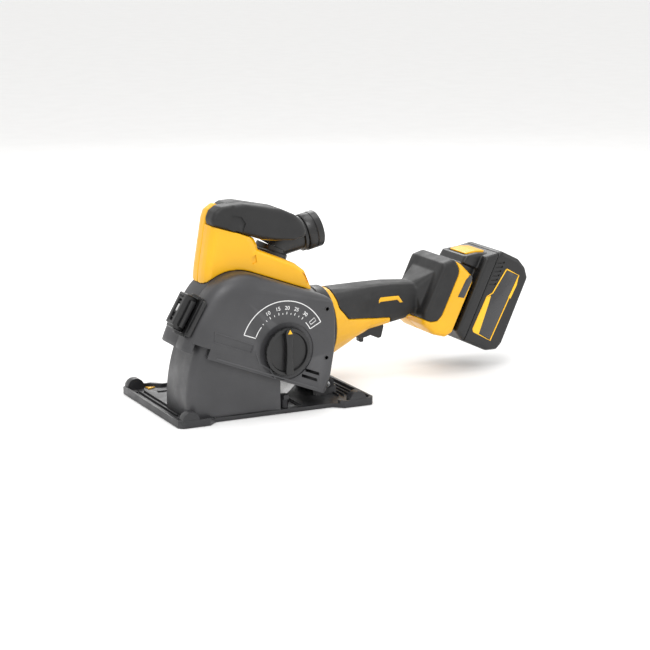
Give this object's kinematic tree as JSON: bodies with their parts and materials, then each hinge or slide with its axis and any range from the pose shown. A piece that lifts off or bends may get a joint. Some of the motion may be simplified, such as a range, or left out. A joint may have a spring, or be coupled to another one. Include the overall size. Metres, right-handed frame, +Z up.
{
  "type": "wall chaser",
  "caption": "Twin-blade wall chaser: plunging guard on a roller sole, depth dial, front handle, dust port and slide-on battery.",
  "frame": {"origin": "middle of the bounding box's underside, on the plane the rollers stand on", "axes": "+X to the rear (battery end), +Y away from the depth dial, +Z up from the sole"},
  "size_m": [0.46, 0.1686, 0.2202],
  "materials": {
    "cast_sole": "semi-matt black coating over a casting",
    "guard_paint": "mid grey textured coating",
    "yellow_shell": "satin yellow",
    "black_shell": "satin black",
    "black_rubber": "matt soft grip",
    "bare_steel": "turned and ground",
    "blade_steel": "ground, with a segmented rim",
    "gear_alloy": "black coated casting",
    "windings": "enamelled copper",
    "pale_plastic": "light grey, satin",
    "cells": "shrink sleeve over metal cans"
  },
  "bodies": {
    "base": {"sole_plate": "cast_sole", "lower_guard": "guard_paint", "depth_stop_post": "bare_steel", "plunge_pivot_pin": "bare_steel", "plunge_spring": "bare_steel", "roller_axle_front_near": "bare_steel", "roller_axle_front_far": "bare_steel", "roller_axle_rear_near": "bare_steel", "roller_axle_rear_far": "bare_steel"},
    "roller_front_near": {"roller_front_near": "black_shell"},
    "roller_front_far": {"roller_front_far": "black_shell"},
    "roller_rear_near": {"roller_rear_near": "black_shell"},
    "roller_rear_far": {"roller_rear_far": "black_shell"},
    "machine": {"guard_body": "guard_paint", "latch_keeper": "pale_plastic", "cover_hinge_pin": "bare_steel", "gear_case": "gear_alloy", "spindle_bearing_cap": "gear_alloy", "spindle_bearing": "bare_steel", "motor_housing": "black_shell", "motor_stator": "windings", "rotor_bearing": "bare_steel", "housing_near": "yellow_shell", "housing_far": "yellow_shell", "overmould_near": "black_rubber", "overmould_far": "black_rubber", "switch_module": "black_shell", "motor_controller": "gear_alloy", "battery_terminal": "black_shell", "front_frame_near": "yellow_shell", "front_frame_far": "yellow_shell", "front_handle_grip": "black_rubber"},
    "blade_spindle": {"spindle": "bare_steel", "bevel_gear": "bare_steel", "inner_flange": "bare_steel", "blade_inner": "blade_steel", "spacer_wide": "bare_steel", "spacer_narrow": "bare_steel", "blade_outer": "blade_steel", "flange_nut": "bare_steel"},
    "rotor": {"rotor_shaft": "bare_steel", "rotor_core": "bare_steel", "cooling_fan": "pale_plastic", "motor_pinion": "bare_steel"},
    "spindle_lock": {"spindle_lock_button": "black_shell"},
    "cover": {"guard_cover": "guard_paint", "latch_bracket": "black_shell"},
    "latch": {"cover_latch": "black_shell"},
    "dial": {"depth_knob": "black_shell", "depth_cam": "bare_steel"},
    "trigger": {"trigger_paddle": "black_shell"},
    "lock_off": {"lock_off_lever": "black_shell"},
    "port": {"dust_port": "black_shell"},
    "collar": {"port_collar": "black_shell"},
    "battery": {"battery_base": "black_shell", "battery_cup": "black_shell", "cell_pack": "cells"},
    "release": {"battery_release_button": "yellow_shell"}
  },
  "joints": [
    {"name": "plunge", "type": "hinge", "parent": "base", "child": "machine", "pos_m": [-0.04199, 0.00165, 0.016], "axis": [0, 1, 0], "range_deg": [-21.5, 0], "stiffness_Nm_per_rad": 6},
    {"name": "spindle_spin", "type": "hinge", "parent": "machine", "child": "blade_spindle", "pos_m": [-0.13499, -0.02635, 0.0675], "axis": [0, 1, 0], "continuous": true},
    {"name": "rotor_spin", "type": "hinge", "parent": "machine", "child": "rotor", "pos_m": [-0.06999, 0.03365, 0.0675], "axis": [1, 0, 0], "continuous": true},
    {"name": "spindle_lock_press", "type": "slide", "parent": "machine", "child": "spindle_lock", "axis": [0, 0, -1], "range_m": [0, 0.003], "stiffness_N_per_m": 400},
    {"name": "cover_hinge", "type": "hinge", "parent": "machine", "child": "cover", "pos_m": [-0.04319, -0.04535, 0.07], "axis": [0, 0, 1], "range_deg": [0, 100]},
    {"name": "latch_hinge", "type": "hinge", "parent": "cover", "child": "latch", "pos_m": [-0.21259, -0.05835, 0.1145], "axis": [0.5, 0, 0.866], "range_deg": [0, 70]},
    {"name": "depth_dial", "type": "hinge", "parent": "cover", "child": "dial", "pos_m": [-0.10699, -0.07635, 0.0678], "axis": [0, 1, 0], "range_deg": [-65, 56]},
    {"name": "trigger_pull", "type": "hinge", "parent": "machine", "child": "trigger", "pos_m": [0.02501, 0.03365, 0.058], "axis": [0, -1, 0], "range_deg": [0, 6], "stiffness_Nm_per_rad": 2},
    {"name": "lock_off_push", "type": "hinge", "parent": "trigger", "child": "lock_off", "pos_m": [0.03501, 0.03365, 0.052], "axis": [0, 1, 0], "range_deg": [0, 12], "stiffness_Nm_per_rad": 0.1},
    {"name": "port_swivel", "type": "hinge", "parent": "machine", "child": "port", "pos_m": [-0.08099, 0.01565, 0.165], "axis": [0.3271, 0, 0.945], "range_deg": [0, 110]},
    {"name": "collar_twist", "type": "hinge", "parent": "port", "child": "collar", "pos_m": [-0.03599, 0.01565, 0.1753], "axis": [0.9749, 0, 0.2228], "range_deg": [0, 30]},
    {"name": "battery_slide", "type": "slide", "parent": "machine", "child": "battery", "axis": [0.4226, 0, 0.9063], "range_m": [0, 0.105]},
    {"name": "release_press", "type": "slide", "parent": "battery", "child": "release", "axis": [-0.4226, 0, -0.9063], "range_m": [0, 0.003], "stiffness_N_per_m": 500},
    {"name": "roll_front_near", "type": "hinge", "parent": "base", "child": "roller_front_near", "pos_m": [-0.21699, -0.07575, 0.0072], "axis": [0, 1, 0], "continuous": true},
    {"name": "roll_front_far", "type": "hinge", "parent": "base", "child": "roller_front_far", "pos_m": [-0.21699, 0.07905, 0.0072], "axis": [0, 1, 0], "continuous": true},
    {"name": "roll_rear_near", "type": "hinge", "parent": "base", "child": "roller_rear_near", "pos_m": [-0.02599, -0.07575, 0.0072], "axis": [0, 1, 0], "continuous": true},
    {"name": "roll_rear_far", "type": "hinge", "parent": "base", "child": "roller_rear_far", "pos_m": [-0.02599, 0.07905, 0.0072], "axis": [0, 1, 0], "continuous": true}
  ],
  "couplings": [
    {"joint": "rotor_spin", "follows": "spindle_spin", "ratio": 3}
  ]
}
